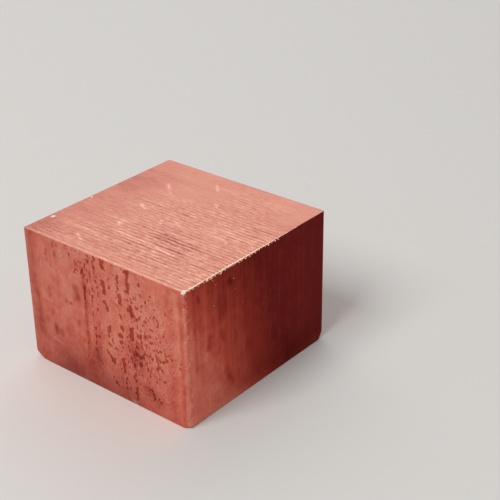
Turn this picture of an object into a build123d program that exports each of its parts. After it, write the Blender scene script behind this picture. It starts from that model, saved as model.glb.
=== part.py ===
from build123d import *
import os

# Copper block: a short length sawn off a drawn square bar, standing on one sawn end.
# Frame: +Z runs up the bar, the origin is the centre of the lower sawn end,
# and the saw's teeth ran towards +X, where they left a burr.

# The drawn bar
bar_side = 50.0
bar_edge_radius = 0.5

# The sawn length
block_length = 35.0

# The burr that the teeth pushed over the top edge of the +X side, thickest at the front corner
burr_overhang = 0.25
burr_drop = 0.45
burr_end_overhang = 0.06
burr_end_drop = 0.12
burr_rear_gap = 11.0

# The three bruised lower corners: what each blow took off the flat of the two base edges
# beside the corner, and how far up the rounded long edge it reaches
left_knock_along_x = 2.1
left_knock_along_y = 1.0
left_knock_rise = 1.4

front_knock_along_x = 0.8
front_knock_along_y = 0.7
front_knock_rise = 1.2

right_knock_along_x = 1.0
right_knock_along_y = 1.0
right_knock_rise = 1.6

half_side = bar_side / 2


def drawn_bar():
    """The square bar between its two saw cuts, with the rounded long edges of the drawing die."""
    section = RectangleRounded(bar_side, bar_side, bar_edge_radius)
    return extrude(section, block_length)


def knocked_corner(toward_x, toward_y, along_x, along_y, rise):
    """The chip of metal missing from one lower corner, cut off by a plane through three points."""
    corner = Vector(toward_x * half_side, toward_y * half_side, 0)
    inward_x = Vector(-toward_x, 0, 0)
    inward_y = Vector(0, -toward_y, 0)
    upward = Vector(0, 0, 1)

    on_base_x = corner + inward_x * (bar_edge_radius + along_x)
    on_base_y = corner + inward_y * (bar_edge_radius + along_y)
    arc_centre = corner + (inward_x + inward_y) * bar_edge_radius
    crest = arc_centre - (inward_x + inward_y).normalized() * bar_edge_radius
    on_long_edge = crest + upward * rise

    # The plane through the three points meets the square corner's own upright a little higher
    facing = (on_base_x - on_long_edge).cross(on_base_y - on_long_edge)
    height = facing.dot(on_base_x - corner) / facing.Z
    return ConvexPolyhedron([corner, on_base_x, on_base_y, corner + upward * height])


def burr_profile(along_y, overhang, drop):
    """The burr's section at one place: it rolls out of the sawn end and hangs beside the face."""
    root = (half_side, block_length - drop)
    lip = (half_side, block_length)
    tip = (half_side + overhang, block_length - drop)
    roll = EllipticalCenterArc(root, overhang, drop, arc_size=90)
    outline = roll + Line(lip, root) + Line(root, tip)
    return Pos(0, along_y, 0) * (Plane.XZ * make_face(outline))


def saw_burr():
    """The burr, thinning out along the top edge from the front corner towards the rear."""
    front = bar_edge_radius - half_side
    rear = half_side - bar_edge_radius - burr_rear_gap
    thick_end = burr_profile(front, burr_overhang, burr_drop)
    thin_end = burr_profile(rear, burr_end_overhang, burr_end_drop)
    return loft([thick_end, thin_end])


block = drawn_bar() + saw_burr()
block -= knocked_corner(-1, -1, left_knock_along_x, left_knock_along_y, left_knock_rise)
block -= knocked_corner(1, -1, front_knock_along_x, front_knock_along_y, front_knock_rise)
block -= knocked_corner(1, 1, right_knock_along_x, right_knock_along_y, right_knock_rise)

os.makedirs("parts", exist_ok=True)
export_step(block, "parts/copper_block.step")
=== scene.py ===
# %% [markdown]
# # A copper block, sawn from drawn bar
#
# The object is one piece of metal: a length of square copper bar, 50 mm across, sawn off at 35 mm.
# Its whole character is in its skin. The two ends carry the saw's lines, the four sides carry the
# drawing die's lines and years of stains, and the saw left a bright ragged burr on one edge.
# The solid part arrives as a fixed frame in metres, and the size of the bar is taken from it.

# %% Load the frame
import math

import bpy
import numpy as np
from mathutils import Matrix, Vector


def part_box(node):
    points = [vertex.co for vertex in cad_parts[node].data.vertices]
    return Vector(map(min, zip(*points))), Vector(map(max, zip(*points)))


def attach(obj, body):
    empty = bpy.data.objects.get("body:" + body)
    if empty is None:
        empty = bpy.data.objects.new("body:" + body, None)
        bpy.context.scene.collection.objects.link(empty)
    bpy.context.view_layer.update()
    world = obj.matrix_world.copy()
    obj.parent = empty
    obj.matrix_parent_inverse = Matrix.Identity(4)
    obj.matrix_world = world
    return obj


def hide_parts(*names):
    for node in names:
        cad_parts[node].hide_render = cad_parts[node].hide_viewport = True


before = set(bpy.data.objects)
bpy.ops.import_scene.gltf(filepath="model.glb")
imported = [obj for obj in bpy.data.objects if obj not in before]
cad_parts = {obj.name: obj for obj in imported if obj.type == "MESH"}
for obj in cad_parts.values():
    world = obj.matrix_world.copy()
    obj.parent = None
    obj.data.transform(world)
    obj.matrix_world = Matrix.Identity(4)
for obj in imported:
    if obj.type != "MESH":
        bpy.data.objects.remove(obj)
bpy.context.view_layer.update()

MM = 0.001
block_low, block_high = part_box("copper_block")
HALF = -block_low.x
HEIGHT = block_high.z
print(f"bar {2000 * HALF:.1f} mm across, {1000 * HEIGHT:.1f} mm long")

# %% [markdown]
# ## The camera
#
# A photograph fixes the camera once the size of the object is known: the seven corners that show
# give its direction, its distance and its lens. Guessing by eye would also work, but the edges of
# a plain block betray an error of a single pixel. The view is a long lens held close, a little
# rolled, with the block left of the middle.

# %% Camera
FRAME_PIXELS = 500
FOCAL_PIXELS = 1198.5
SENSOR_MM = 36.0
VIEW_AZIMUTH = math.radians(39.60)
VIEW_ELEVATION = math.radians(27.63)
VIEW_ROLL = math.radians(-0.737)
VIEW_DISTANCE = 288.99 * MM
LEFT_OF_MIDDLE = 17.27 * MM
BELOW_MIDDLE = 8.24 * MM


def direction(azimuth, elevation):
    """The way from the block towards a viewer or lamp; azimuth 0 is in front, on the -Y side."""
    level = math.cos(elevation)
    return Vector((math.sin(azimuth) * level, -math.cos(azimuth) * level, math.sin(elevation)))


def aim_camera():
    """Places the camera so that the block lands where the photograph has it."""
    back = direction(VIEW_AZIMUTH, VIEW_ELEVATION)
    level = Vector((math.cos(VIEW_AZIMUTH), math.sin(VIEW_AZIMUTH), 0))
    upright = back.cross(level)
    right = level * math.cos(VIEW_ROLL) + upright * math.sin(VIEW_ROLL)
    up = upright * math.cos(VIEW_ROLL) - level * math.sin(VIEW_ROLL)
    middle = Vector((0, 0, HEIGHT / 2))
    place = middle + back * VIEW_DISTANCE + right * LEFT_OF_MIDDLE + up * BELOW_MIDDLE

    data = bpy.data.cameras.new("camera")
    data.sensor_width = SENSOR_MM
    data.lens = SENSOR_MM * FOCAL_PIXELS / FRAME_PIXELS
    data.clip_start = 10 * MM
    camera = bpy.data.objects.new("camera", data)
    bpy.context.scene.collection.objects.link(camera)
    turn = Matrix((right, up, back)).transposed().to_4x4()
    camera.matrix_world = Matrix.Translation(place) @ turn
    bpy.context.scene.camera = camera
    return camera


camera = aim_camera()
camera_place = [round(c / MM) for c in camera.location]
print("camera at", camera_place, "mm, lens", round(camera.data.lens, 1), "mm")

# %% [markdown]
# ## Helpers: colours, nodes and objects
#
# Colours are easiest to read as the hex values that a paint program shows, which are sRGB, while
# Blender's sockets want linear light. One function does that change. A second one adds a node to
# any tree, shader or geometry, with its settings and with what feeds it. The last two start a
# finish and an object.

# %% Colour, node and object helpers


def linear(hex_colour):
    """A colour written as sRGB hex, turned to the linear values that sockets take."""
    channels = [int(hex_colour[i : i + 2], 16) / 255 for i in (1, 3, 5)]
    return [c / 12.92 if c <= 0.04045 else ((c + 0.055) / 1.055) ** 2.4 for c in channels] + [1.0]


def add(tree, kind, feeds=(), **settings):
    """Adds a node and gives back its first output in use.

    Settings are the node's own options. Feeds are values or sockets for its inputs, in order or by
    name.
    """
    node = tree.nodes.new(kind)
    for name, value in settings.items():
        setattr(node, name, value)
    for key, value in feeds.items() if isinstance(feeds, dict) else enumerate(feeds):
        if isinstance(value, bpy.types.NodeSocket):
            tree.links.new(value, node.inputs[key])
        else:
            node.inputs[key].default_value = value
    return next((out for out in node.outputs if out.enabled), None)


def new_finish(name):
    """A material with a plain Principled shader, and its tree."""
    material = bpy.data.materials.new(name)
    material.use_nodes = True
    return material, material.node_tree, material.node_tree.nodes["Principled BSDF"]


def plain_object(name, points, shapes, fields):
    """A linked object with a mesh from points and faces, and one float attribute for each field."""
    mesh = bpy.data.meshes.new(name)
    mesh.from_pydata(points, [], shapes)
    for label, values in fields.items():
        attribute = mesh.attributes.new(label, "FLOAT", "POINT")
        attribute.data.foreach_set("value", np.asarray(values, dtype=np.float32))
    thing = bpy.data.objects.new(name, mesh)
    bpy.context.scene.collection.objects.link(thing)
    return thing


print("copper in linear light:", [round(c, 3) for c in linear("#C87A64")[:3]])

# %% [markdown]
# ## Floor and light
#
# Metal shows what is around it, so the light is really a part of the finish. A plain pale floor
# carries the block. A soft bank behind and to the left is what the sawn top mirrors towards the
# camera, and a high key lamp in front lights the stained side and the floor before it. The right
# side turns away from both lamps, and its heavy film, which is partly painted shade, makes it darker
# still.

# %% Floor and lamps
FLOOR_SIZE = 12.0
FLOOR_DROP = 0.05 * MM


def pale_floor():
    """A wide sheet of pale matt board, just under the block."""
    material, _, shader = new_finish("pale matt board")
    shader.inputs["Base Color"].default_value = linear("#DEDBD7")
    shader.inputs["Roughness"].default_value = 0.9
    reach = FLOOR_SIZE / 2
    corners = [(-reach, -reach), (reach, -reach), (reach, reach), (-reach, reach)]
    floor = plain_object("floor", [(x, y, -FLOOR_DROP) for x, y in corners], [(0, 1, 2, 3)], {})
    floor.data.materials.append(material)
    return floor


def softbox(name, azimuth, elevation, distance, width, tall, watts):
    """A rectangular soft lamp, aimed at the block."""
    lamp = bpy.data.lights.new(name, "AREA")
    lamp.shape = "RECTANGLE"
    lamp.size = width
    lamp.size_y = tall
    lamp.energy = watts
    box = bpy.data.objects.new(name, lamp)
    bpy.context.scene.collection.objects.link(box)
    away = direction(math.radians(azimuth), math.radians(elevation))
    box.location = away * distance + Vector((0, 0, HEIGHT / 2))
    box.rotation_euler = away.to_track_quat("Z", "Y").to_euler()
    return box


def soft_room(strength):
    """An even grey room all round."""
    world = bpy.data.worlds.new("soft room")
    world.use_nodes = True
    background = world.node_tree.nodes["Background"]
    background.inputs["Color"].default_value = linear("#FFFFFF")
    background.inputs["Strength"].default_value = strength
    bpy.context.scene.world = world


pale_floor()
softbox("key lamp", azimuth=-4, elevation=50, distance=1.2, width=0.6, tall=0.6, watts=9.5)
softbox("rear bank", azimuth=-140, elevation=38, distance=1.0, width=1.2, tall=0.9, watts=3.4)
soft_room(0.3)
bpy.context.scene.view_settings.view_transform = "Standard"
print("floor, two lamps and the room are set")

# %% [markdown]
# ## The sawn ends: fresh copper
#
# Sawn copper is the bare metal: pale peach on the crests that the teeth sheared clean, pinker where
# the metal smeared, browner at the bottom of a groove; the pale crests and brown grooves are partly
# painted highlight and shade of the relief. A picture of a sawn face could be wrapped on, but the
# lines follow a rule, so they are relief, made further down, and this finish only reads how high each
# point lies. Everything that changes the colour is added up to one number, the tone, and a
# ramp turns that into metal.

# %% Finish of the sawn ends


def set_stops(ramp, colours):
    """Gives a colour ramp its stops, from a table of place to hex colour."""
    while len(ramp.elements) > 1:
        ramp.elements.remove(ramp.elements[-1])
    (first, first_colour), *others = colours.items()
    ramp.elements[0].position = first
    ramp.elements[0].color = linear(first_colour)
    for place, colour in others:
        ramp.elements.new(place).color = linear(colour)


# Tone 0 is a torn bright crest, 0.4 the sheared metal, 1 the brown bottom of a groove, partly painted
# highlight and shade
SAWN_COLOURS = {0.0: "#F8C8B0", 0.3: "#DE9C85", 0.5: "#D48A77", 0.75: "#B86A5B", 1.0: "#8E4339"}
SAWN_TONE = 0.695

# Each noise has a size in millimetres along X, Y and Z, long in X, the way that the saw ran
SAWN_NOISE = {
    "patches": ((15, 9, 15), {"Detail": 3.0}),
    "grain": ((1.7, 0.42, 1.7), {"Detail": 4.0, "Roughness": 0.75}),
    "hairs": ((12, 0.35, 12), {"Detail": 3.0}),
}


def sawn_copper():
    """Bare sheared copper: satin, grainy along the saw's way, browner in the grooves."""
    material, tree, shader = new_finish("sawn copper")
    place = add(tree, "ShaderNodeTexCoord").node.outputs["Object"]
    noise = {}
    for name, (size, look) in SAWN_NOISE.items():
        scale = [1 / (s * MM) for s in size]
        spread = add(tree, "ShaderNodeMapping", {"Vector": place, "Scale": scale})
        noise[name] = add(tree, "ShaderNodeTexNoise", {"Vector": spread, "Scale": 1.0} | look)
    bitten, dullness, height = (
        add(tree, "ShaderNodeAttribute", attribute_name=name).node.outputs["Fac"]
        for name in ("bite", "tarnish_and_shade", "relief")
    )

    harsh = add(tree, "ShaderNodeMath", (bitten, 2.2, 0.5), operation="MULTIPLY_ADD")
    speck = add(tree, "ShaderNodeMath", (0.5, noise["grain"]), operation="SUBTRACT")
    tone = SAWN_TONE
    changes = [(noise["patches"], -0.35), (speck, harsh), (noise["hairs"], -0.25)]
    # The relief's height lightens crests and browns grooves: partly painted highlight and shade of the
    # saw lines
    for field, share in changes + [(height, -0.65), (dullness, 1.0)]:
        tone = add(tree, "ShaderNodeMath", (field, share, tone), operation="MULTIPLY_ADD")
    colour = add(tree, "ShaderNodeValToRGB", {"Fac": tone})
    set_stops(colour.node.color_ramp, SAWN_COLOURS)
    tree.links.new(colour, shader.inputs["Base Color"])
    shader.inputs["Metallic"].default_value = 1.0
    shader.inputs["Roughness"].default_value = 0.46

    rough = add(tree, "ShaderNodeMath", (noise["grain"], noise["hairs"]), operation="ADD")
    bump = add(tree, "ShaderNodeBump", {"Height": rough, "Strength": 0.7, "Distance": 0.04 * MM})
    tree.links.new(bump, shader.inputs["Normal"])
    return material


sawn_finish = sawn_copper()
print("made", sawn_finish.name)

# %% [markdown]
# ## The drawn sides: tarnished copper
#
# The sides slid through a steel die, which drew fine lines down the bar, and then they tarnished:
# a film of oxide that turns the metal from salmon through red to a deep wine colour as it thickens,
# with dark flecks where drops dried. Film thickness is again one number, so a thin film, a rubbed
# edge and a stain all lie on one ramp; the same number also carries painted shade on the right side
# and painted glints. The mesh below says how thick the film is at each place, how wet that place
# was, how sooty, with painted shade along the bottom of the front, and how cloudy. Noise and a
# pattern of cells break the wet places up into dabs, each with a paler rim.

# %% Finish of the drawn sides

# Tone 0 is rubbed bare and also a painted glint, 0.2 a thin film, 0.6 the inside of a stain, 1 the
# heavy film, partly painted shade
DRAWN_COLOURS = {0.0: "#EEA890", 0.2: "#E88573", 0.45: "#C25343", 0.7: "#98332A", 1.0: "#681517"}

# Streaks and scores are long in Z, the way that the bar was drawn
DRAWN_NOISE = {
    "streaks": ((0.9, 0.9, 40), {"Detail": 4.0}),
    "scores": ((0.3, 0.3, 16), {"Detail": 3.0}),
    "clouds": ((3, 3, 4), {"Detail": 5.0, "Roughness": 0.78}),
    "flecks": ((0.8, 0.8, 1.2), {"Detail": 2.5, "Roughness": 0.55}),
}


def drawn_copper():
    """Drawn bar under a red oxide film: satin, streaked along the bar, flecked with dark stains, with
    painted shade and glints read from the mesh.
    """
    material, tree, shader = new_finish("drawn copper, tarnished")
    place = add(tree, "ShaderNodeTexCoord").node.outputs["Object"]
    spread, noise = {}, {}
    for name, (size, look) in DRAWN_NOISE.items():
        scale = [1 / (s * MM) for s in size]
        spread[name] = add(tree, "ShaderNodeMapping", {"Vector": place, "Scale": scale})
        noise[name] = add(tree, "ShaderNodeTexNoise", {"Vector": spread[name], "Scale": 1.0} | look)
    # The film attribute carries painted shade on the right side, and the soot attribute painted shade
    # along the bottom of the front
    wetted, film_and_shade, patchy, soot_and_shade = (
        add(tree, "ShaderNodeAttribute", attribute_name=name).node.outputs["Fac"]
        for name in ("stain", "tarnish_and_shade", "mottle", "soot_and_shade")
    )

    cells = add(tree, "ShaderNodeTexVoronoi", {"Vector": spread["flecks"], "Scale": 1.0})
    dabs = add(tree, "ShaderNodeMath", (cells, -0.35, 0.24), operation="MULTIPLY_ADD")
    ragged = add(tree, "ShaderNodeMath", (noise["flecks"], 0.9, dabs), operation="MULTIPLY_ADD")
    reach = add(tree, "ShaderNodeMath", (ragged, 2.6, wetted), operation="MULTIPLY_ADD")
    damp = add(tree, "ShaderNodeMath", (wetted, 4.0, 0.25), operation="MULTIPLY_ADD", use_clamp=True)
    rim_feeds = {"Value": reach, "From Min": 1.48, "From Max": 1.66, "To Max": damp}
    rim = add(tree, "ShaderNodeMapRange", rim_feeds, interpolation_type="SMOOTHSTEP")
    fleck_feeds = {"Value": reach, "From Min": 1.60, "From Max": 2.25, "To Max": damp}
    fleck = add(tree, "ShaderNodeMapRange", fleck_feeds, interpolation_type="SMOOTHSTEP")

    line_feeds = (noise["scores"], 0.5, noise["streaks"])
    lines = add(tree, "ShaderNodeMath", line_feeds, operation="MULTIPLY_ADD")
    lines = add(tree, "ShaderNodeMath", (lines, 0.28, -0.21), operation="MULTIPLY_ADD")
    cloudy = add(tree, "ShaderNodeMath", (noise["clouds"], 0.5), operation="SUBTRACT")
    tone = film_and_shade
    for field, share in ((cloudy, patchy), (lines, film_and_shade), (rim, -0.13), (fleck, 0.38)):
        tone = add(tree, "ShaderNodeMath", (field, share, tone), operation="MULTIPLY_ADD")
    colour = add(tree, "ShaderNodeValToRGB", {"Fac": tone})
    set_stops(colour.node.color_ramp, DRAWN_COLOURS)
    # Flecks and soot dull the colour; along the bottom of the front the soot is painted shade
    dirt_and_shade = add(tree, "ShaderNodeMath", (fleck, 0.14, soot_and_shade), operation="MULTIPLY_ADD")
    dull_feeds = {"Factor": dirt_and_shade, "A": colour, "B": linear("#8C889A")}
    dulled = add(tree, "ShaderNodeMix", dull_feeds, data_type="RGBA", blend_type="MULTIPLY")
    tree.links.new(dulled, shader.inputs["Base Color"])
    shader.inputs["Metallic"].default_value = 1.0
    shader.inputs["Roughness"].default_value = 0.42
    shader.inputs["Specular Tint"].default_value = linear("#F8D8D0")

    bump_feeds = {"Height": noise["streaks"], "Strength": 0.5, "Distance": 0.02 * MM}
    bump = add(tree, "ShaderNodeBump", bump_feeds)
    tree.links.new(bump, shader.inputs["Normal"])
    return material


drawn_finish = drawn_copper()
print("made", drawn_finish.name)

# %% [markdown]
# ## The blank: a bar with broken edges
#
# The relief needs a fine mesh, but only across the lines: rows close together down the top, and
# columns close together round the sides. A subdivided cube would spend its faces evenly. Here a
# loop of points runs round the bar, is stacked up the sides, and each end gets its own grid,
# joined to the loop by a band of triangles.

# %% Loops round the bar
EDGE_RADIUS = 0.5 * MM
EDGE_BREAK = 0.06 * MM
END_MARGIN = 0.25 * MM
SIDE_CELLS = (170, 170, 50, 50)
CORNER_CELLS = 6
SIDE_ROWS = 100
TOP_CELLS = (140, 300)
BASE_CELLS = (60, 120)


def bar_loop(inset):
    """Points round the bar's section, anticlockwise from above, starting at the -Y side."""
    points = []
    reach = HALF - EDGE_RADIUS
    for side, cells in enumerate(SIDE_CELLS):
        along = np.linspace(-reach, reach, cells + 1)
        flat = np.stack([along, np.full(cells + 1, inset - HALF)], axis=1)
        swing = np.linspace(-math.pi / 2, 0, CORNER_CELLS + 1)[1:-1]
        round_part = np.stack([np.cos(swing), np.sin(swing)], axis=1) * (EDGE_RADIUS - inset)
        corner = round_part + np.array([reach, -reach])
        cos, sin = round(math.cos(side * math.pi / 2)), round(math.sin(side * math.pi / 2))
        points.append(np.concatenate([flat, corner]) @ np.array([[cos, sin], [-sin, cos]]))
    return np.concatenate(points)


def end_grid(cells):
    """A flat grid inside one end, its points row by row, and the loop of its border."""
    reach = HALF - END_MARGIN
    columns, rows = cells
    xs = np.linspace(-reach, reach, columns + 1)
    ys = np.linspace(-reach, reach, rows + 1)
    points = np.stack(np.meshgrid(xs, ys), axis=-1).reshape(-1, 2)
    number = np.arange(len(points)).reshape(rows + 1, columns + 1)
    border = np.concatenate([number[0, :-1], number[:-1, -1], number[-1, :0:-1], number[:0:-1, 0]])
    quads = np.stack([number[:-1, :-1], number[:-1, 1:], number[1:, 1:], number[1:, :-1]], axis=-1)
    return points, border, quads.reshape(-1, 4)


def zip_band(outer, inner, places):
    """Triangles between two loops with different counts, stepping on the one that lags in angle."""
    turns = []
    for loop in (outer, inner):
        turn = np.unwrap(np.arctan2(places[loop, 1], places[loop, 0]))
        turns.append(np.append(turn, turn[0] + 2 * math.pi))
    a, b = 0, 0
    faces = []
    while a < len(outer) or b < len(inner):
        step_outer = b == len(inner) or (a < len(outer) and turns[0][a + 1] <= turns[1][b + 1])
        here, across = outer[a % len(outer)], inner[b % len(inner)]
        if step_outer:
            a += 1
            faces.append((here, outer[a % len(outer)], across))
        else:
            b += 1
            faces.append((here, inner[b % len(inner)], across))
    return faces


print("one loop round the bar has", len(bar_loop(0)), "points")

# %% Stack the loops and close the ends


def bar_blank():
    """The plain sawn length: points, faces, and the number of points that come before the ends."""
    levels = [(EDGE_BREAK, 0.0)]
    levels += [(0.0, z) for z in np.linspace(EDGE_BREAK, HEIGHT - EDGE_BREAK, SIDE_ROWS + 1)]
    levels += [(EDGE_BREAK, HEIGHT)]
    rings = []
    for inset, z in levels:
        loop = bar_loop(inset)
        rings.append(np.column_stack([loop, np.full(len(loop), z)]))
    count = len(rings[0])
    places = np.concatenate(rings)
    around = np.arange(count)
    faces = []
    for row in range(len(rings) - 1):
        low, high = row * count + around, (row + 1) * count + around
        faces += np.stack([low, np.roll(low, -1), np.roll(high, -1), high], axis=1).tolist()
    side_points = len(places)

    ends = ((TOP_CELLS, HEIGHT, len(rings) - 1, True), (BASE_CELLS, 0.0, 0, False))
    for cells, z, ring, upward in ends:
        points, border, quads = end_grid(cells)
        first = len(places)
        places = np.concatenate([places, np.column_stack([points, np.full(len(points), z)])])
        end_faces = (quads + first).tolist() + zip_band(ring * count + around, border + first, places)
        faces += [list(face) if upward else list(face)[::-1] for face in end_faces]
    return places, faces, side_points


places, faces, side_points = bar_blank()
triangles = sum(len(face) - 2 for face in faces)
print(len(places), "points,", triangles, "triangles in the blank")

# %% [markdown]
# ## Bruised corners
#
# Copper is soft, so a dropped block blunts its corners. Three lower ones show it. Each bruise is
# a plane across the corner: points beyond it are pushed back onto it, and a soft limit in place of
# a hard one rolls the rim of the bruise over, as a blow does. A boolean cut would leave a knife edge.

# %% Blunt the lower corners
BRUISE_ROUND = 0.18 * MM
BRUISES = {
    "left": ((-1, -1), (2.6 * MM, 1.5 * MM, 1.5 * MM)),
    "front": ((1, -1), (1.3 * MM, 1.2 * MM, 1.4 * MM)),
    "right": ((1, 1), (1.5 * MM, 1.5 * MM, 1.8 * MM)),
}


def bruise(points, toward, setbacks):
    """Pushes the points of one lower corner back to a plane set back along X, Y and Z."""
    slope = np.array([toward[0], toward[1], -1.0]) / np.array(setbacks)
    normal = slope / np.linalg.norm(slope)
    corner = np.array([toward[0] * HALF, toward[1] * HALF, 0.0])
    beyond = (points - corner) @ normal + 1 / np.linalg.norm(slope)
    pushed = BRUISE_ROUND * np.logaddexp(0, beyond / BRUISE_ROUND)
    near = np.abs(points - corner).max(axis=1) < 3 * max(setbacks)
    return points - normal * (pushed * near)[:, None]


for toward, setbacks in BRUISES.values():
    places = bruise(places, toward, setbacks)
print("blunted", ", ".join(BRUISES), "corners")

# %% [markdown]
# ## Marks of chance, as brush strokes
#
# Where drops dried, where the film grew thick and where the teeth bit deep follows no rule. Such
# marks could be painted by hand, but a list of strokes says the same and stays readable. A stroke
# has two ends, as shares of the face's width and height from its upper left corner, then a width
# in millimetres and a strength. Soft strokes fade like smoke, firm ones have an edge.

# %% Two kinds of stroke
STROKE_FADE = 0.8 * MM


def apart(spots, size, ends):
    """How far each spot on a face lies from the middle line of a stroke."""
    start = np.array(ends[:2]) * size
    run = np.array(ends[2:]) * size - start
    offset = spots - start
    share = np.clip(offset @ run / (run @ run), 0, 1)
    return np.linalg.norm(offset - share[:, None] * run, axis=1)


def soft_strokes(spots, size, strokes):
    """Strokes that fade out like smoke, added up."""
    field = np.zeros(len(spots))
    for *ends, wide, strength in strokes:
        field += strength * np.exp(-((2 * apart(spots, size, ends) / (wide * MM)) ** 2))
    return field


def firm_strokes(spots, size, strokes):
    """Strokes with an edge, where they are half as strong as inside."""
    field = np.zeros(len(spots))
    for *ends, wide, strength in strokes:
        inside = 0.5 + (wide * MM / 2 - apart(spots, size, ends)) / STROKE_FADE
        field = np.maximum(field, np.clip(inside, 0, 1) * strength)
    return field


left_to_right = places[:, 0] + HALF
front_to_rear = places[:, 1] + HALF
down = HEIGHT - places[:, 2]
SIDE_SIZE = np.array([2 * HALF, HEIGHT])
END_SIZE = np.array([2 * HALF, 2 * HALF])
on_front = np.stack([left_to_right, down], axis=1)
on_right = np.stack([front_to_rear, down], axis=1)
on_top = np.stack([left_to_right, 2 * HALF - front_to_rear], axis=1)
print("faces are", (SIDE_SIZE / MM).round(1), "and", (END_SIZE / MM).round(1), "mm")

# %% Stains of the front side: firm strokes where drops dried, soft ones where fine flecks gather
FRONT_STAINS = [
    # The long drip at two thirds of the width
    (0.668, 0.02, 0.667, 0.16, 1.1, 1.4), (0.676, 0.265, 0.688, 0.32, 1.4, 1.3),
    (0.676, 0.43, 0.677, 0.5, 1.3, 1.3),
    # The drip in the middle
    (0.511, 0.02, 0.513, 0.055, 1.6, 1.1), (0.508, 0.155, 0.515, 0.235, 1.2, 1.1),
    (0.515, 0.31, 0.532, 0.36, 1.4, 1.1), (0.54, 0.48, 0.53, 0.55, 1.2, 1.1),
    # Dabs between the two
    (0.612, 0.07, 0.606, 0.1, 1.0, 1.0), (0.6, 0.13, 0.606, 0.18, 0.8, 0.9),
    (0.616, 0.21, 0.616, 0.27, 1.2, 1.1), (0.606, 0.355, 0.612, 0.375, 1.0, 0.9),
    (0.618, 0.435, 0.622, 0.455, 1.0, 1.0), (0.6, 0.505, 0.615, 0.515, 1.0, 1.0),
    (0.61, 0.55, 0.604, 0.565, 1.0, 1.0), (0.611, 0.59, 0.613, 0.61, 0.8, 0.9),
    (0.545, 0.58, 0.555, 0.6, 0.8, 0.9),
    # Thin runs left of the middle
    (0.384, 0.12, 0.388, 0.24, 0.9, 0.75), (0.392, 0.27, 0.388, 0.38, 0.7, 0.8),
    (0.388, 0.44, 0.384, 0.8, 0.4, 0.5), (0.412, 0.06, 0.418, 0.3, 0.4, 0.75),
    (0.438, 0.22, 0.434, 0.42, 0.5, 0.9), (0.446, 0.4, 0.442, 0.7, 0.5, 0.85),
    (0.466, 0.14, 0.47, 0.42, 0.4, 0.95), (0.486, 0.44, 0.478, 0.66, 0.4, 0.5),
    # Small marks in the upper half
    (0.372, 0.04, 0.4, 0.05, 1.0, 0.8), (0.43, 0.02, 0.424, 0.06, 1.1, 0.8),
    (0.466, 0.0, 0.463, 0.13, 0.5, 0.8), (0.43, 0.1, 0.432, 0.22, 0.5, 0.8),
    (0.474, 0.2, 0.47, 0.26, 0.5, 0.6), (0.554, 0.12, 0.552, 0.2, 0.6, 0.8),
    (0.582, 0.1, 0.584, 0.3, 0.4, 0.7), (0.44, 0.33, 0.438, 0.4, 0.5, 0.6),
    (0.735, 0.06, 0.732, 0.08, 1.2, 0.8), (0.335, 0.16, 0.322, 0.2, 0.9, 0.7),
    (0.432, 0.44, 0.44, 0.47, 1.1, 0.7), (0.705, 0.345, 0.735, 0.36, 0.7, 0.6),
    (0.508, 0.45, 0.525, 0.462, 0.7, 0.6), (0.735, 0.41, 0.728, 0.47, 1.1, 0.9),
    (0.755, 0.44, 0.782, 0.42, 1.2, 0.9),
    # Marks in the lower half
    (0.722, 0.6, 0.725, 0.69, 1.6, 0.55), (0.672, 0.56, 0.68, 0.66, 1.3, 0.6),
    (0.682, 0.66, 0.69, 0.98, 0.6, 0.8), (0.52, 0.69, 0.556, 0.75, 1.0, 1.0),
    (0.614, 0.69, 0.618, 0.78, 1.0, 1.1), (0.622, 0.84, 0.63, 0.9, 1.0, 0.8),
    (0.545, 0.87, 0.57, 0.91, 1.3, 0.8), (0.445, 0.7, 0.47, 0.78, 1.8, 0.4),
    (0.77, 0.82, 0.83, 0.9, 1.3, 0.5), (0.51, 0.76, 0.505, 0.83, 0.6, 0.6),
    (0.512, 0.62, 0.585, 0.635, 0.6, 0.85), (0.765, 0.66, 0.772, 0.68, 1.0, 0.9),
    (0.815, 0.875, 0.835, 0.9, 1.0, 0.6),
    # Single marks out to the sides
    (0.255, 0.43, 0.295, 0.43, 0.5, 0.6), (0.826, 0.575, 0.838, 0.625, 0.8, 0.9),
    (0.85, 0.67, 0.862, 0.62, 0.7, 0.9), (0.8, 0.53, 0.835, 0.52, 0.5, 0.7),
    (0.965, 0.53, 0.967, 0.56, 0.5, 0.7),
]
FRONT_FLECKS = [
    (0.4, 0.05, 0.62, 0.1, 12.0, 0.16), (0.385, 0.05, 0.39, 0.45, 3.0, 0.14),
    (0.43, 0.1, 0.43, 0.3, 2.5, 0.16), (0.47, 0.0, 0.47, 0.3, 2.5, 0.16),
    (0.72, 0.3, 0.85, 0.4, 9.0, 0.26), (0.75, 0.55, 0.85, 0.6, 9.0, 0.4),
    (0.62, 0.5, 0.78, 0.62, 10.0, 0.22), (0.68, 0.15, 0.85, 0.2, 9.0, 0.2),
    (0.55, 0.8, 0.82, 0.86, 8.0, 0.2), (0.45, 0.6, 0.6, 0.68, 8.0, 0.22),
    (0.26, 0.04, 0.32, 0.06, 5.0, 0.2),
]
FLECKS_MOST = 0.48

front_stain = firm_strokes(on_front, SIDE_SIZE, FRONT_STAINS)
front_flecks = np.minimum(soft_strokes(on_front, SIDE_SIZE, FRONT_FLECKS), FLECKS_MOST)
front_stain = np.maximum(front_stain, front_flecks)
print(len(FRONT_STAINS), "stains and", len(FRONT_FLECKS), "flecked patches on the front side")
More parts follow.
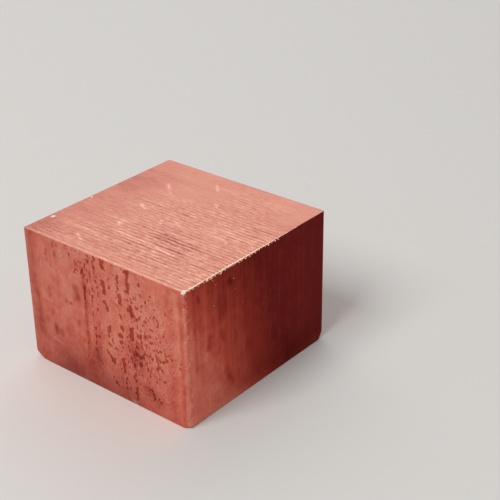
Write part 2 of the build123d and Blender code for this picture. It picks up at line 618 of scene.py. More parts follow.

# %% Film on the front side: smudges and bands, thicker above zero and rubbed thin below, and two painted glints; soot, and painted shade along the bottom
FILM = 0.22
FRONT_FILM_AND_GLINTS = [
    # Bands down the left edge
    (0.015, 0.0, 0.015, 1.0, 2.2, -0.05), (0.048, 0.0, 0.057, 0.75, 3.0, 0.12),
    (0.06, 0.45, 0.062, 0.75, 2.0, 0.08),
    # Smudges at the left
    (0.205, 0.1, 0.207, 0.4, 1.0, 0.06), (0.13, 0.36, 0.15, 0.38, 2.6, 0.08),
    (0.27, 0.22, 0.29, 0.26, 3.0, 0.06), (0.33, 0.5, 0.34, 0.55, 3.0, 0.06),
    (0.26, 0.66, 0.28, 0.68, 2.4, 0.07), (0.18, 0.3, 0.28, 0.3, 16.0, -0.03),
    (0.33, 0.3, 0.338, 0.37, 2.2, 0.22), (0.169, 0.68, 0.172, 0.715, 1.6, 0.2),
    (0.206, 0.69, 0.209, 0.715, 1.3, 0.18),
    # Small spots at the left
    (0.195, 0.02, 0.193, 0.05, 0.8, 0.22), (0.225, 0.025, 0.225, 0.04, 0.8, 0.18),
    (0.145, 0.095, 0.142, 0.135, 0.8, 0.18), (0.203, 0.09, 0.2, 0.12, 0.8, 0.2),
    (0.145, 0.165, 0.144, 0.18, 0.9, 0.18), (0.173, 0.185, 0.172, 0.205, 0.8, 0.16),
    (0.091, 0.185, 0.09, 0.21, 0.8, 0.16), (0.283, 0.0, 0.281, 0.03, 0.8, 0.22),
    (0.302, 0.06, 0.299, 0.09, 0.8, 0.2), (0.34, 0.105, 0.34, 0.12, 1.0, 0.2),
    (0.143, 0.445, 0.143, 0.46, 1.0, 0.16), (0.153, 0.56, 0.153, 0.58, 1.0, 0.14),
    (0.331, 0.55, 0.331, 0.57, 0.8, 0.16), (0.362, 0.67, 0.362, 0.69, 1.0, 0.16),
    (0.115, 0.64, 0.118, 0.66, 1.4, 0.1), (0.25, 0.43, 0.3, 0.43, 0.9, 0.15),
    (0.1, 0.5, 0.2, 0.51, 0.8, 0.1), (0.14, 0.39, 0.15, 0.42, 1.4, 0.1),
    # Streaks down the left of the stains
    (0.388, 0.06, 0.392, 0.72, 1.2, 0.13), (0.388, 0.14, 0.39, 0.38, 1.4, 0.1),
    (0.388, 0.36, 0.386, 0.76, 0.9, 0.12), (0.372, 0.02, 0.374, 0.2, 0.5, 0.1),
    (0.402, 0.04, 0.404, 0.4, 0.5, 0.1), (0.433, 0.05, 0.435, 0.6, 0.5, 0.08),
    (0.446, 0.2, 0.448, 0.78, 0.5, 0.06), (0.459, 0.02, 0.461, 0.5, 0.5, 0.1),
    (0.471, 0.1, 0.473, 0.7, 0.5, 0.1), (0.484, 0.15, 0.484, 0.45, 0.5, 0.1),
    (0.415, 0.05, 0.418, 0.45, 0.8, 0.1),
    # Smudges round the lower stains
    (0.455, 0.6, 0.445, 0.8, 4.0, 0.08), (0.68, 0.55, 0.685, 0.68, 4.0, 0.1),
    (0.683, 0.6, 0.692, 0.98, 1.4, 0.1), (0.74, 0.82, 0.82, 0.89, 2.2, 0.08),
    (0.725, 0.58, 0.728, 0.7, 3.0, 0.07),
    # Bands beside the front upright edge
    (0.915, 0.03, 0.918, 0.97, 1.8, 0.05), (0.942, 0.03, 0.942, 0.97, 0.9, -0.01),
    (0.982, 0.03, 0.982, 0.97, 1.1, 0.09), (0.958, 0.03, 0.958, 0.97, 0.9, -0.06),
    # Wide clouds
    (0.18, 0.05, 0.18, 0.95, 30.0, -0.03), (0.8, 0.15, 0.9, 0.3, 14.0, -0.03),
    (0.84, 0.5, 0.86, 0.6, 10.0, -0.01), (0.05, 0.8, 0.32, 0.86, 14.0, 0.035),
    (0.3, 0.9, 0.55, 0.92, 12.0, 0.06),
    # Bare scratches; the two on the last line are painted glints
    (0.148, 0.77, 0.175, 0.785, 0.5, -0.22), (0.175, 0.785, 0.198, 0.79, 0.5, -0.16),
    (0.705, 0.705, 0.715, 0.69, 0.6, -0.3), (0.66, 0.98, 0.68, 0.985, 0.8, -0.3),
]
# Soot smudges round the stains, and along the bottom of the side painted shade that darkens it
FRONT_SOOT_AND_SHADE = [
    (0.672, 0.57, 0.682, 0.66, 3.0, 0.24), (0.726, 0.61, 0.73, 0.7, 2.4, 0.26),
    (0.445, 0.74, 0.468, 0.77, 3.0, 0.32), (0.33, 0.3, 0.338, 0.36, 2.2, 0.24),
    (0.195, 0.03, 0.205, 0.11, 2.0, 0.1), (0.78, 0.84, 0.83, 0.89, 2.8, 0.16),
    (0.165, 0.69, 0.196, 0.7, 2.6, 0.16), (0.02, 0.0, 0.02, 1.0, 2.4, 0.18),
    (0.052, 0.0, 0.058, 0.75, 3.0, 0.12), (0.18, 0.05, 0.18, 0.95, 26.0, 0.1),
    (0.76, 0.86, 0.9, 0.9, 10.0, 0.1), (0.25, 0.97, 0.62, 0.95, 14.0, 0.36),
    (0.05, 1.0, 0.95, 1.0, 6.0, 0.15), (0.05, 0.85, 0.3, 0.85, 14.0, 0.1),
]

front_film_and_glints = FILM + soft_strokes(on_front, SIDE_SIZE, FRONT_FILM_AND_GLINTS)
front_soot_and_shade = soft_strokes(on_front, SIDE_SIZE, FRONT_SOOT_AND_SHADE)
print("front film from", front_film_and_glints.min().round(2), "to", front_film_and_glints.max().round(2))

# %% Film on the right side, partly painted shade: thin at the lower front, heavy at the upper rear
RIGHT_FILM_AND_PAINTED_LIGHT = [
    # Lines down the side; the first is a painted glint line along the front upright edge
    (0.004, 0.0, 0.004, 1.0, 1.2, -0.08), (0.058, 0.0, 0.07, 0.6, 1.2, 0.09),
    (0.038, 0.05, 0.045, 0.95, 0.9, -0.05), (0.098, 0.15, 0.103, 0.7, 1.3, 0.05),
    (0.13, 0.0, 0.134, 0.6, 0.9, -0.03), (0.165, 0.05, 0.17, 0.5, 1.4, 0.04),
    (0.2, 0.0, 0.204, 0.45, 0.8, -0.03), (0.228, 0.0, 0.232, 0.4, 1.2, 0.04),
    (0.255, 0.0, 0.262, 0.25, 1.2, 0.08), (0.4, 0.05, 0.41, 0.75, 0.9, 0.06),
    (0.335, 0.1, 0.34, 0.5, 0.5, -0.06), (0.365, 0.02, 0.37, 0.6, 0.5, -0.05),
    # Smudges
    (0.16, 0.42, 0.148, 0.49, 1.8, 0.16), (0.24, 0.44, 0.25, 0.5, 1.6, 0.12),
    (0.27, 0.72, 0.285, 0.78, 1.8, 0.14), (0.285, 0.8, 0.305, 0.85, 1.6, 0.14),
    (0.6, 0.65, 0.61, 0.72, 2.0, 0.12), (0.43, 0.64, 0.44, 0.68, 2.0, 0.1),
    (0.295, 0.1, 0.31, 0.12, 1.5, 0.2), (0.088, 0.09, 0.095, 0.12, 1.1, 0.2),
    (0.235, 0.23, 0.26, 0.3, 3.2, 0.1), (0.12, 0.6, 0.18, 0.72, 3.0, 0.05),
    # Bare scratches
    (0.145, 0.8, 0.147, 0.97, 0.5, -0.06), (0.34, 0.185, 0.358, 0.205, 0.5, -0.08),
    (0.338, 0.335, 0.352, 0.355, 0.5, -0.08), (0.248, 0.22, 0.262, 0.245, 0.5, -0.08),
    # Painted light along the foot, lifting the mirrored contact shadow
    (0.0, 1.0, 1.0, 1.0, 4.0, -0.16),
]
RIGHT_LEAST = 0.10
EDGE_RUBS_AND_GLINTS = 150

# The heavy film at the lower front, what it gains to the rear, and what it gains to the top, which is
# more at the front than at the rear; the darkness that it adds is partly painted shade
HEAVY_START = -0.14
REARWARD_GAIN = 1.57
UPWARD_GAIN_FRONT = 0.66
UPWARD_GAIN_REAR = 0.09
HEAVY_RANGE = (0.29, 1.0)


def heavy_film_and_shade():
    """The film that thickens towards the rear and, near the front, towards the top, partly painted
    shade.
    """
    rearward = front_to_rear / (2 * HALF)
    upward = 1 - down / HEIGHT
    upward_gain = UPWARD_GAIN_FRONT + (UPWARD_GAIN_REAR - UPWARD_GAIN_FRONT) * rearward
    return np.clip(HEAVY_START + REARWARD_GAIN * rearward + upward_gain * upward, *HEAVY_RANGE)


def edge_rubs_and_glints():
    """Short bare places all down the front upright edge, where the block has been handled, which also
    paint its glint line.
    """
    draw = np.random.default_rng(3)
    along = draw.exponential(0.007, EDGE_RUBS_AND_GLINTS)
    high = draw.uniform(0.0, 0.95, EDGE_RUBS_AND_GLINTS)
    long = draw.uniform(0.003, 0.02, EDGE_RUBS_AND_GLINTS)
    wide = draw.uniform(0.3, 0.5, EDGE_RUBS_AND_GLINTS)
    bare = draw.uniform(-0.30, -0.04, EDGE_RUBS_AND_GLINTS)
    return [(a, h, a, h + l, w, b) for a, h, l, w, b in zip(along, high, long, wide, bare)]


# Heavy film on the right side, its darkness partly painted shade of a side turned from the light
right_film_and_shade = heavy_film_and_shade() + soft_strokes(on_right, SIDE_SIZE, RIGHT_FILM_AND_PAINTED_LIGHT + edge_rubs_and_glints())
right_film_and_shade = np.maximum(right_film_and_shade, RIGHT_LEAST)
print("right film from", right_film_and_shade.min().round(2), "to", right_film_and_shade.max().round(2))

# %% The top: where it is dull, where the teeth bit deep and where a crest was left
TOP_DULL = [
    # Wide patches, dull and bright
    (0.0, 0.2, 0.0, 0.9, 18.0, 0.18), (0.05, 0.95, 0.15, 0.97, 8.0, 0.1),
    (0.1, 0.2, 0.2, 0.2, 12.0, 0.05), (0.85, 0.45, 0.95, 0.5, 14.0, -0.03),
    (0.64, 0.68, 0.74, 0.7, 9.0, 0.12), (0.8, 0.72, 0.84, 0.7, 5.0, -0.08),
    # Bright scratches
    (0.205, 0.23, 0.25, 0.27, 0.8, -0.3), (0.27, 0.29, 0.29, 0.31, 0.6, -0.15),
    (0.405, 0.09, 0.455, 0.145, 0.6, -0.22), (0.262, 0.48, 0.305, 0.505, 0.7, -0.28),
    (0.46, 0.55, 0.485, 0.59, 0.6, -0.28), (0.545, 0.26, 0.575, 0.285, 0.8, -0.26),
    (0.47, 0.39, 0.58, 0.44, 0.8, -0.16), (0.245, 0.89, 0.305, 0.92, 0.8, -0.26),
    (0.31, 0.68, 0.33, 0.7, 0.9, -0.26), (0.595, 0.335, 0.61, 0.345, 0.7, -0.24),
]
TOP_BITES = [
    (0.62, 0.655, 0.76, 0.655, 6.0, 0.26), (0.64, 0.72, 0.76, 0.73, 6.0, 0.18),
    (0.94, 0.35, 0.97, 0.85, 9.0, 0.13), (0.62, 0.3, 0.8, 0.5, 12.0, 0.1),
    (0.6, 0.55, 0.95, 0.6, 28.0, 0.35), (0.12, 0.93, 0.92, 0.95, 12.0, 0.32),
    (0.6, 0.8, 0.95, 0.82, 12.0, 0.25), (0.86, 0.42, 1.0, 0.45, 9.0, 0.2),
    (0.62, 0.12, 0.78, 0.17, 9.0, 0.3), (0.66, 0.3, 0.86, 0.33, 9.0, 0.2),
    (0.2, 0.45, 0.45, 0.45, 12.0, 0.25), (0.2, 0.66, 0.5, 0.68, 10.0, 0.22),
    (0.25, 0.8, 0.65, 0.82, 8.0, 0.25),
]
TOP_CRESTS = [
    (0.35, 0.755, 0.58, 0.763, 0.3, 0.55), (0.58, 0.763, 0.75, 0.78, 0.3, 0.75),
    (0.1, 0.83, 0.4, 0.832, 0.3, 0.3), (0.42, 0.832, 0.57, 0.838, 0.3, 0.5),
    (0.22, 0.425, 0.39, 0.425, 0.3, 0.4), (0.22, 0.66, 0.36, 0.655, 0.3, 0.3),
    (0.18, 0.945, 0.45, 0.95, 0.35, 0.4), (0.56, 0.625, 0.76, 0.63, 0.25, 0.6),
    (0.57, 0.715, 0.79, 0.72, 0.25, 0.6), (0.5, 0.52, 0.57, 0.545, 0.3, 0.35),
    (0.72, 0.52, 0.85, 0.535, 0.3, 0.4), (0.02, 0.99, 0.98, 0.99, 0.5, 0.3),
]
BASE_BITE = 0.4

upper = places[:, 2] > HEIGHT / 2
top_dull = soft_strokes(on_top, END_SIZE, TOP_DULL)
bite = np.where(upper, soft_strokes(on_top, END_SIZE, TOP_BITES), BASE_BITE)
crest = np.where(upper, firm_strokes(on_top, END_SIZE, TOP_CRESTS), 0)
print("deepest bite", bite.max().round(2), "of a full one;", len(TOP_CRESTS), "crests")

# %% Join the fields where the faces meet
PLAIN_FILM = 0.36
FILM_SPREAD = 9 * MM
MOTTLES = np.array([0.62, 0.38, 0.50, 0.50])


def towards(distance):
    """0 where the rounded edge of a face starts, 1 on the flat of that face."""
    return np.clip((distance - HALF + EDGE_RADIUS) / EDGE_RADIUS, 0, 1)


x, y = places[:, 0], places[:, 1]
weights = np.stack([towards(-y), towards(x), towards(y), towards(-x)])
weights /= np.maximum(weights.sum(axis=0), 1e-6)
# The rear film darkens towards the right side to meet its film; the films carry the right side's
# painted shade with the real tarnish
rear_film = PLAIN_FILM + (1 - PLAIN_FILM) * np.exp((x - HALF) / FILM_SPREAD)
films_and_shade = np.stack([front_film_and_glints, right_film_and_shade, rear_film, np.full(len(x), PLAIN_FILM)])
sawn = np.zeros(len(places))
sawn[side_points:] = 1.0
film_and_shade = np.where(sawn > 0, np.where(upper, top_dull, 0), (weights * films_and_shade).sum(axis=0))
stain = weights[0] * front_stain
soot_and_shade = weights[0] * front_soot_and_shade
mottle = MOTTLES @ weights
print(int(sawn.sum()), "points on the sawn ends, film up to", film_and_shade.max().round(2))

# %% [markdown]
# ## Saw lines and die lines
#
# A saw leaves one line for every bite as the blade feeds across the bar, so the lines follow a
# rule: an even pitch, a depth that changes from bite to bite, and stretches where a line fades
# out. Modelling hundreds of grooves by hand is hopeless, and a bump map alone leaves the mesh
# flat. Geometry Nodes can move every point of the blank by that rule, and they keep the height as
# an attribute for the finish. The die lines on the sides are the same idea along the bar.

# %% Start and end of a geometry tree


def tree_with_inputs(name, inputs):
    """An empty geometry tree with named inputs; gives back the tree and its input node."""
    tree = bpy.data.node_groups.new(name, "GeometryNodeTree")
    tree.interface.new_socket("Geometry", in_out="INPUT", socket_type="NodeSocketGeometry")
    tree.interface.new_socket("Geometry", in_out="OUTPUT", socket_type="NodeSocketGeometry")
    for label, kind in inputs.items():
        tree.interface.new_socket(label, in_out="INPUT", socket_type="NodeSocket" + kind)
    return tree, add(tree, "NodeGroupInput").node.outputs


def end_tree(tree, geometry, finish, end_finish=None, on_ends=None):
    """Realizes what the tree made, sets its finish, and another one on the sawn ends if it has them."""
    out = add(tree, "GeometryNodeRealizeInstances", {"Geometry": geometry})
    out = add(tree, "GeometryNodeSetMaterial", {"Geometry": out, "Material": finish})
    if end_finish:
        feeds = {"Geometry": out, "Selection": on_ends, "Material": end_finish}
        out = add(tree, "GeometryNodeSetMaterial", feeds)
    add(tree, "NodeGroupOutput", {"Geometry": out})


print("trees start with named inputs and end realized, with their finish")

# %% Rule of the saw lines
SWAY_SIZE = (18 * MM, 7 * MM, 1.0)
RELIEF_SIZES = {"wave": (60 * MM, 2.6 * MM, 1.0), "die": (0.7 * MM, 0.7 * MM, 70 * MM)}


def saw_cut(tree, given, place):
    """How deep each point lies: 1 in a full groove, a little under 0 on the ridges between grooves."""
    across = add(tree, "ShaderNodeSeparateXYZ", (place,)).node.outputs
    sway_place = add(tree, "ShaderNodeVectorMath", (place, SWAY_SIZE), operation="DIVIDE")
    sway_feeds = {"Vector": sway_place, "W": given["Seed"], "Scale": 1.0, "Detail": 1.0}
    sway = add(tree, "ShaderNodeTexNoise", sway_feeds, noise_dimensions="4D")
    swing = add(tree, "ShaderNodeMath", (sway, 0.5), operation="SUBTRACT")
    fed = add(tree, "ShaderNodeMath", (swing, given["Wander"], across["Y"]), operation="MULTIPLY_ADD")
    bites = add(tree, "ShaderNodeMath", (fed, given["Pitch"]), operation="DIVIDE")
    number = add(tree, "ShaderNodeMath", (bites,), operation="FLOOR")

    phase = add(tree, "ShaderNodeMath", (bites,), operation="FRACT")
    saw_tooth = add(tree, "ShaderNodeMath", (phase, 2.0, -1.0), operation="MULTIPLY_ADD")
    off_middle = add(tree, "ShaderNodeMath", (saw_tooth,), operation="ABSOLUTE")
    profile = {"Value": off_middle, "From Min": 0.05, "From Max": 0.52, "To Min": 1.0, "To Max": -0.22}
    groove = add(tree, "ShaderNodeMapRange", profile, interpolation_type="SMOOTHSTEP")

    own = add(tree, "ShaderNodeTexWhiteNoise", {"W": number}, noise_dimensions="1D")
    own_depth = add(tree, "ShaderNodeMath", (own, 0.55, 0.45), operation="MULTIPLY_ADD")
    along = add(tree, "ShaderNodeMath", (across["X"], 4 * MM), operation="DIVIDE")
    own_row = add(tree, "ShaderNodeMath", (number, 3.7), operation="MULTIPLY")
    line_place = add(tree, "ShaderNodeCombineXYZ", (along, own_row))
    fade_feeds = {"Vector": line_place, "W": given["Seed"], "Scale": 1.0, "Detail": 2.0}
    fade = add(tree, "ShaderNodeTexNoise", fade_feeds, noise_dimensions="4D")
    bite = add(tree, "GeometryNodeInputNamedAttribute", {"Name": "bite"}, data_type="FLOAT")
    held = add(tree, "ShaderNodeMath", (bite, 0.3, fade), operation="MULTIPLY_ADD")
    shown_feeds = {"Value": held, "From Min": 0.36, "From Max": 0.66}
    shown = add(tree, "ShaderNodeMapRange", shown_feeds, interpolation_type="SMOOTHSTEP")

    cut = groove
    for share in (own_depth, shown, bite):
        cut = add(tree, "ShaderNodeMath", (cut, share), operation="MULTIPLY")
    return cut


def worked_surface_tree():
    """Saw lines and crests across the ends, die lines down the sides, and the relief attribute."""
    sizes = dict.fromkeys(("Pitch", "Depth", "Wander", "Die depth", "Seed"), "Float")
    tree, given = tree_with_inputs("saw and die lines", sizes)
    place = add(tree, "GeometryNodeInputPosition")
    sawn_end = add(tree, "GeometryNodeInputNamedAttribute", {"Name": "sawn"}, data_type="FLOAT")
    crest = add(tree, "GeometryNodeInputNamedAttribute", {"Name": "crest"}, data_type="FLOAT")
    cut = saw_cut(tree, given, place)

    noise = {}
    for name, size in RELIEF_SIZES.items():
        spread = add(tree, "ShaderNodeVectorMath", (place, size), operation="DIVIDE")
        noise_feeds = {"Vector": spread, "W": given["Seed"], "Scale": 1.0, "Detail": 2.0}
        noise[name] = add(tree, "ShaderNodeTexNoise", noise_feeds, noise_dimensions="4D")
    rise = add(tree, "ShaderNodeMath", (noise["wave"], 0.3, -0.15), operation="MULTIPLY_ADD")
    rise = add(tree, "ShaderNodeMath", (crest, rise), operation="ADD")
    relief = add(tree, "ShaderNodeMath", (rise, cut), operation="SUBTRACT")
    relief = add(tree, "ShaderNodeMath", (relief, sawn_end), operation="MULTIPLY")
    end_lift = add(tree, "ShaderNodeMath", (relief, given["Depth"]), operation="MULTIPLY")

    die_rise = add(tree, "ShaderNodeMath", (noise["die"], 0.5), operation="SUBTRACT")
    die_lift = add(tree, "ShaderNodeMath", (die_rise, given["Die depth"]), operation="MULTIPLY")
    side = add(tree, "ShaderNodeMath", (1.0, sawn_end), operation="SUBTRACT")
    lift = add(tree, "ShaderNodeMath", (die_lift, side, end_lift), operation="MULTIPLY_ADD")

    normal = add(tree, "GeometryNodeInputNormal")
    moved = add(tree, "ShaderNodeVectorMath", {0: normal, "Scale": lift}, operation="SCALE")
    shaped = add(tree, "GeometryNodeSetPosition", {"Geometry": given["Geometry"], "Offset": moved})
    kept_feeds = {"Geometry": shaped, "Name": "relief", "Value": relief}
    kept = add(tree, "GeometryNodeStoreNamedAttribute", kept_feeds, data_type="FLOAT", domain="POINT")
    on_ends = add(tree, "ShaderNodeMath", (sawn_end, 0.01), operation="GREATER_THAN")
    end_tree(tree, kept, drawn_finish, sawn_finish, on_ends)
    return tree


worked_tree = worked_surface_tree()
print("tree", worked_tree.name, "has", len(worked_tree.nodes), "nodes")

# %% Make the block
BLOCK_SIZES = {
    "Pitch": 1.16 * MM,
    "Depth": 0.07 * MM,
    "Wander": 0.3 * MM,
    "Die depth": 0.02 * MM,
    "Seed": 4.0,
}


def run_tree(thing, tree, values):
    """Runs a geometry tree on an object and leaves it with the result as its plain mesh."""
    modifier = thing.modifiers.new(tree.name, "NODES")
    modifier.node_group = tree
    for item in tree.interface.items_tree:
        if item.item_type == "SOCKET" and item.in_out == "INPUT" and item.name in values:
            modifier[item.identifier] = values[item.name]
    ready = thing.evaluated_get(bpy.context.evaluated_depsgraph_get())
    mesh = bpy.data.meshes.new_from_object(ready)
    thing.modifiers.remove(modifier)
    thing.data = mesh
    mesh.name = thing.name
    return thing


fields = {"sawn": sawn, "bite": bite, "crest": crest}
fields |= {"tarnish_and_shade": film_and_shade, "stain": stain, "soot_and_shade": soot_and_shade, "mottle": mottle}
block = plain_object("sawn_block", places, faces, fields)
run_tree(block, worked_tree, BLOCK_SIZES)
block.data.shade_smooth()
block.data.set_sharp_from_angle(angle=math.radians(40))
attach(block, "root")
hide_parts("copper_block")
print("block:", len(block.data.vertices), "points,", [m.name for m in block.data.materials])

# %% [markdown]
# ## The burr
#
# Where the teeth left the cut they pushed a lip of torn metal over the edge. It is bright, because
# it has not tarnished, and ragged: it swells and thins every millimetre or so and dies out towards
# the rear. A row of modelled lumps would show its repeat. A flattened bead swept along the edge,
# with a girth that follows noise, tears differently all along.

# %% Finish of torn copper

# From the darkest facets to the brightest, which on a crumb are almost white, and palest on large
# crumbs as a painted highlight
LIP_COLOURS = {0.3: "#FFB494", 0.45: "#FFD0B2", 0.6: "#FFE4D0"}
CRUMB_COLOURS = {0.3: "#FFA07C", 0.5: "#FFC4A2", 0.65: "#FFE4D0", 0.8: "#FFF6F2"}
FACET_SIZE = 0.4 * MM


def torn_copper(name, colours, metallic, roughness):
    """Freshly torn copper: bright and untarnished, mottled by its facets, palest on large crumbs as a
    painted highlight.
    """
    material, tree, shader = new_finish(name)
    place = add(tree, "ShaderNodeTexCoord").node.outputs["Object"]
    facet_feeds = {"Vector": place, "Scale": [1 / FACET_SIZE] * 3}
    facet_place = add(tree, "ShaderNodeMapping", facet_feeds)
    facets = add(tree, "ShaderNodeTexNoise", {"Vector": facet_place, "Scale": 1.0, "Detail": 2.0})
    size = add(tree, "ShaderNodeAttribute", attribute_name="size").node.outputs["Fac"]
    large_highlight_feeds = {"Value": size, "From Min": 0.6 * MM, "From Max": 1.6 * MM, "To Max": 0.35}
    large_highlight = add(tree, "ShaderNodeMapRange", large_highlight_feeds)
    bright = add(tree, "ShaderNodeMath", (facets, large_highlight), operation="ADD")
    colour = add(tree, "ShaderNodeValToRGB", {"Fac": bright})
    set_stops(colour.node.color_ramp, colours)
    tree.links.new(colour, shader.inputs["Base Color"])
    shader.inputs["Metallic"].default_value = metallic
    shader.inputs["Roughness"].default_value = roughness
    return material


# The lip is smooth enough to mirror the rear bank. The facets of a crumb are too fine to draw, so a
# low metallic value stands for the light that they scatter.
lip_finish = torn_copper("torn copper lip", LIP_COLOURS, metallic=0.75, roughness=0.2)
crumb_finish = torn_copper("torn copper crumbs", CRUMB_COLOURS, metallic=0.3, roughness=0.3)
print("made", lip_finish.name, "and", crumb_finish.name)

# %% Rule of the burr
BURR_NOISE = {"swell": (1.1 * MM, 3.0), "tear": (0.55 * MM, 2.0)}
BURR_LEAST = 0.06


def burr_tree():
    """A flattened bead along a line that swells and thins by noise and dies out towards its end."""
    sizes = {"Start": "Vector", "End": "Vector", "Step": "Float", "Reach": "Float", "Flatten": "Vector"}
    tree, given = tree_with_inputs("torn burr", sizes | {"Lift": "Vector", "Seed": "Float"})
    line = add(tree, "GeometryNodeCurvePrimitiveLine", {"Start": given["Start"], "End": given["End"]})
    edge_feeds = {"Curve": line, "Length": given["Step"]}
    edge = add(tree, "GeometryNodeResampleCurve", edge_feeds, mode="LENGTH")
    place = add(tree, "GeometryNodeInputPosition")
    noise = {}
    for name, (size, detail) in BURR_NOISE.items():
        spread = add(tree, "ShaderNodeVectorMath", {0: place, "Scale": 1 / size}, operation="SCALE")
        noise_feeds = {"Vector": spread, "W": given["Seed"], "Scale": 1.0, "Detail": detail}
        noise[name] = add(tree, "ShaderNodeTexNoise", noise_feeds, noise_dimensions="4D")

    along = add(tree, "GeometryNodeSplineParameter")
    dying_feeds = {"Value": along, "From Min": 0.35, "From Max": 1.0, "To Min": 1.0, "To Max": 0.2}
    dying = add(tree, "ShaderNodeMapRange", dying_feeds, interpolation_type="SMOOTHSTEP")
    lump = add(tree, "ShaderNodeMath", (noise["swell"], 2.2, -1.55), operation="MULTIPLY_ADD")
    lump = add(tree, "ShaderNodeMath", (noise["tear"], 2.6, lump), operation="MULTIPLY_ADD")
    lump = add(tree, "ShaderNodeMath", (lump, dying), operation="MULTIPLY")
    lump = add(tree, "ShaderNodeMath", (lump, BURR_LEAST), operation="MAXIMUM")
    girth = add(tree, "ShaderNodeMath", (lump, given["Reach"]), operation="MULTIPLY")

    ring = add(tree, "GeometryNodeCurvePrimitiveCircle", {"Resolution": 8, "Radius": 1.0})
    bead_feeds = {"Curve": edge, "Profile Curve": ring, "Scale": girth, "Fill Caps": True}
    bead = add(tree, "GeometryNodeCurveToMesh", bead_feeds)
    lip_feeds = {"Geometry": bead, "Scale": given["Flatten"], "Translation": given["Lift"]}
    lip = add(tree, "GeometryNodeTransform", lip_feeds)
    end_tree(tree, lip, lip_finish)
    return tree


BURR_INSET = 0.1 * MM
BURR_FRONT_GAP = 0.3 * MM
BURR_REAR_GAP = 11 * MM
BURR_SIZES = {
    "Start": (HALF - BURR_INSET, BURR_FRONT_GAP - HALF, 0.0),
    "End": (HALF - BURR_INSET, HALF - BURR_REAR_GAP, 0.0),
    "Step": 0.1 * MM,
    "Reach": 0.33 * MM,
    "Flatten": (1.0, 1.0, 0.4),
    "Lift": (0.0, 0.0, HEIGHT),
    "Seed": 2.0,
}

burr = plain_object("edge_burr", [], [], {})
run_tree(burr, burr_tree(), BURR_SIZES)
burr.data.shade_smooth()
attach(burr, "root")
print("burr:", len(burr.data.vertices), "points")

# %% [markdown]
# ## Chips of torn metal
#
# The saw also left crumbs: bright flakes on the top, specks on the side below the burr, and a tooth
# that hangs from the burr at every saw line. Handling left glints down the front upright edge. The
# ones that stand out are listed, as shares of their face, and a seeded draw adds the fine ones. To
# model each would be wasted work at this size. One faceted flake, set on every place with its own
# turn and size, is enough.

# %% Where the chips lie
TOP_CHIPS = [
    (0.23, 0.25, 0.8), (0.43, 0.11, 0.5), (0.57, 0.28, 0.75), (0.61, 0.34, 0.55),
    (0.54, 0.41, 0.75), (0.54, 0.44, 0.55), (0.49, 0.4, 0.5), (0.31, 0.5, 0.75),
    (0.47, 0.57, 0.6), (0.48, 0.59, 0.5), (0.32, 0.69, 0.8), (0.36, 0.74, 0.4),
    (0.78, 0.68, 0.65), (0.024, 0.83, 1.95), (0.01, 0.57, 0.8), (0.19, 0.62, 0.5),
    (0.26, 0.89, 0.6), (0.3, 0.91, 0.8), (0.59, 0.91, 0.5), (0.75, 0.32, 0.5),
    (0.84, 0.41, 0.5), (0.89, 0.59, 0.4),
]
RIGHT_CHIPS = [
    (0.185, 0.03, 0.5), (0.325, 0.1, 0.35), (0.385, 0.31, 0.24), (0.335, 0.18, 0.24),
    (0.19, 0.21, 0.24), (0.205, 0.07, 0.3), (0.095, 0.012, 0.5), (0.235, 0.012, 0.6),
]
EDGE_GLINTS = 50
GLINT_MOST = 0.4
EDGE_SPECKS = 45
BURR_TEETH = 28

TOOTH_OUT = 0.10 * MM
TOOTH_DROP = 0.18 * MM
CHIP_SINK = 0.15
CORNER_CHIP_INSET = 0.3 * MM
CORNER_CHIP_SIZE = 1.3

draw = np.random.default_rng(11)
spots = []
for x, y, size in TOP_CHIPS:
    spots.append((2 * HALF * x - HALF, HALF - 2 * HALF * y, HEIGHT - CHIP_SINK * size * MM, size))
spots += [(HALF, 2 * HALF * y - HALF, HEIGHT * (1 - z), size) for y, z, size in RIGHT_CHIPS]
crest_of_edge = HALF - EDGE_RADIUS * (1 - math.sqrt(0.5))
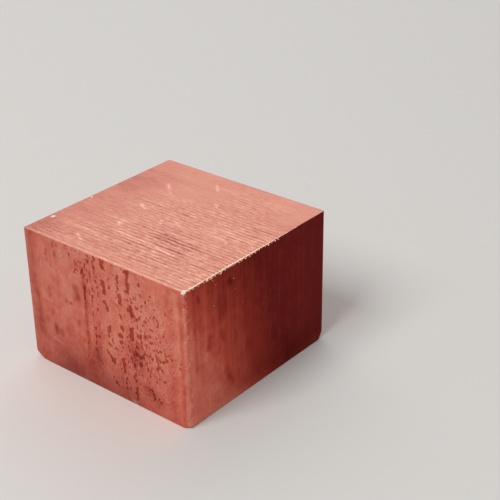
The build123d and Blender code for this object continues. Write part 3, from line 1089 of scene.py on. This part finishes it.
# The corner chip is large, so it takes the painted highlight of large crumbs, a glint on the corner
corner = HALF - CORNER_CHIP_INSET
spots.append((corner, -corner, HEIGHT - CORNER_CHIP_INSET / 3, CORNER_CHIP_SIZE))
for share, size in zip(draw.uniform(0.03, 0.95, EDGE_GLINTS), draw.exponential(0.14, EDGE_GLINTS)):
    spots.append((crest_of_edge, -crest_of_edge, HEIGHT * share, min(size, GLINT_MOST)))
for tooth, stray, size in zip(
    range(BURR_TEETH),
    draw.normal(0, 0.12, BURR_TEETH) * MM,
    draw.uniform(0.15, 0.75, BURR_TEETH),
):
    along = (tooth + 0.5) * BLOCK_SIZES["Pitch"] + stray
    spots.append((HALF + TOOTH_OUT, along - HALF, HEIGHT - TOOTH_DROP, size))
for share, off, size in zip(
    draw.uniform(0.05, 0.98, EDGE_SPECKS),
    draw.exponential(0.4, EDGE_SPECKS) * MM,
    draw.uniform(0.08, 0.22, EDGE_SPECKS),
):
    spots.append((HALF, EDGE_RADIUS + off - HALF, HEIGHT * share, size))
print(len(spots), "chips")

# %% Rule of the chips


def chip_tree():
    """A faceted flake on every point, turned at random, as large as the point's size says."""
    tree, given = tree_with_inputs("torn chips", {"Seed": "Int"})
    ball = add(tree, "GeometryNodeMeshIcoSphere", {"Radius": 0.5, "Subdivisions": 1})
    place = add(tree, "GeometryNodeInputPosition")
    tear_feeds = {"Vector": place, "Scale": 1.9, "Detail": 1.0}
    tear = add(tree, "ShaderNodeTexNoise", tear_feeds).node.outputs["Color"]
    pull = add(tree, "ShaderNodeVectorMath", (tear, (0.5, 0.5, 0.5)), operation="SUBTRACT")
    flake = add(tree, "GeometryNodeSetPosition", {"Geometry": ball, "Offset": pull})
    size = add(tree, "GeometryNodeInputNamedAttribute", {"Name": "size"}, data_type="FLOAT")
    shape = add(tree, "ShaderNodeVectorMath", {0: (1.2, 0.8, 0.6), "Scale": size}, operation="SCALE")
    turn_feeds = {"Min": (-0.6, -0.6, 0.0), "Max": (0.6, 0.6, math.tau), "Seed": given["Seed"]}
    turn = add(tree, "FunctionNodeRandomValue", turn_feeds, data_type="FLOAT_VECTOR")
    set_feeds = {"Points": given["Geometry"], "Instance": flake, "Rotation": turn, "Scale": shape}
    flakes = add(tree, "GeometryNodeInstanceOnPoints", set_feeds)
    end_tree(tree, flakes, crumb_finish)
    return tree


spots = np.array(spots)
chips = plain_object("saw_chips", spots[:, :3].tolist(), [], {"size": spots[:, 3] * MM})
run_tree(chips, chip_tree(), {"Seed": 5})
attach(chips, "root")
print("chips:", len(chips.data.polygons), "facets")
